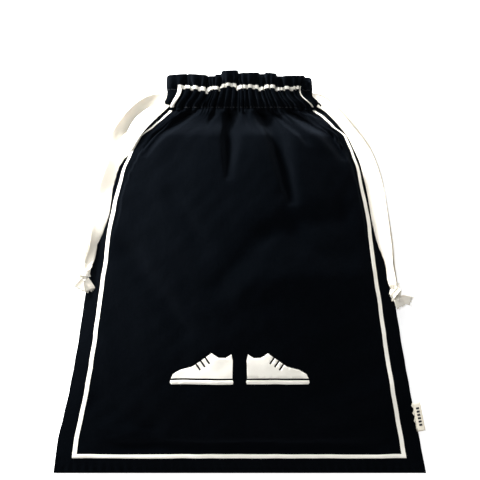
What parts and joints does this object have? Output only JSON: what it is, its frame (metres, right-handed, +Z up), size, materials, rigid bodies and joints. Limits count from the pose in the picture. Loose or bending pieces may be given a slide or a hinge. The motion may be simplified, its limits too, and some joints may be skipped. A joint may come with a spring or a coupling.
{
  "type": "drawstring shoe bag",
  "caption": "Flat cotton drawstring bag for shoes, shown filled: gathered mouth with a frill, a flat tape drawcord knotted at each side, printed border and a folded side label.",
  "frame": {"origin": "on the surface that the bag lies on, under the middle of its length and width, without its free cords", "axes": "+X to the bag's right side as its printed front is read, +Y along the bag from the bottom seam to the mouth, +Z up through its thickness"},
  "size_m": [0.3201, 0.343, 0.094],
  "materials": {
    "black_cotton": "matte",
    "black_thread": "matte",
    "cotton_tape": "matte",
    "label_tape": "matte",
    "white_ink": "matte"
  },
  "bodies": {
    "bag": {"front_panel": "black_cotton", "back_panel": "black_cotton", "front_facing": "black_cotton", "back_facing": "black_cotton", "left_seam_allowance": "black_cotton", "right_seam_allowance": "black_cotton", "bottom_seam_allowance": "black_cotton", "front_lower_stitching": "black_thread", "front_upper_stitching": "black_thread", "back_lower_stitching": "black_thread", "back_upper_stitching": "black_thread", "printed_border": "white_ink", "printed_shoes": "white_ink", "left_cord_loop": "cotton_tape", "right_cord_loop": "cotton_tape"},
    "left_drawcord": {"left_cord_front_run": "cotton_tape", "left_cord_back_run": "cotton_tape", "left_cord_front_tail": "cotton_tape", "left_cord_back_tail": "cotton_tape", "left_cord_knot": "cotton_tape", "left_cord_tips": "cotton_tape"},
    "right_drawcord": {"right_cord_front_run": "cotton_tape", "right_cord_back_run": "cotton_tape", "right_cord_front_tail": "cotton_tape", "right_cord_back_tail": "cotton_tape", "right_cord_knot": "cotton_tape", "right_cord_tips": "cotton_tape"},
    "label": {"side_label": "label_tape"}
  },
  "joints": [
    {"name": "left_drawcord_pull", "type": "slide", "parent": "bag", "child": "left_drawcord", "axis": [-1, 0, 0], "range_m": [0, 0.03]},
    {"name": "right_drawcord_pull", "type": "slide", "parent": "bag", "child": "right_drawcord", "axis": [1, 0, 0], "range_m": [0, 0.03]},
    {"name": "label_flap", "type": "hinge", "parent": "bag", "child": "label", "pos_m": [0.15126, -0.1228, 0.01363], "axis": [0.2008, -0.9462, -0.2538], "range_deg": [-60, 75], "stiffness_Nm_per_rad": 0.00005}
  ]
}
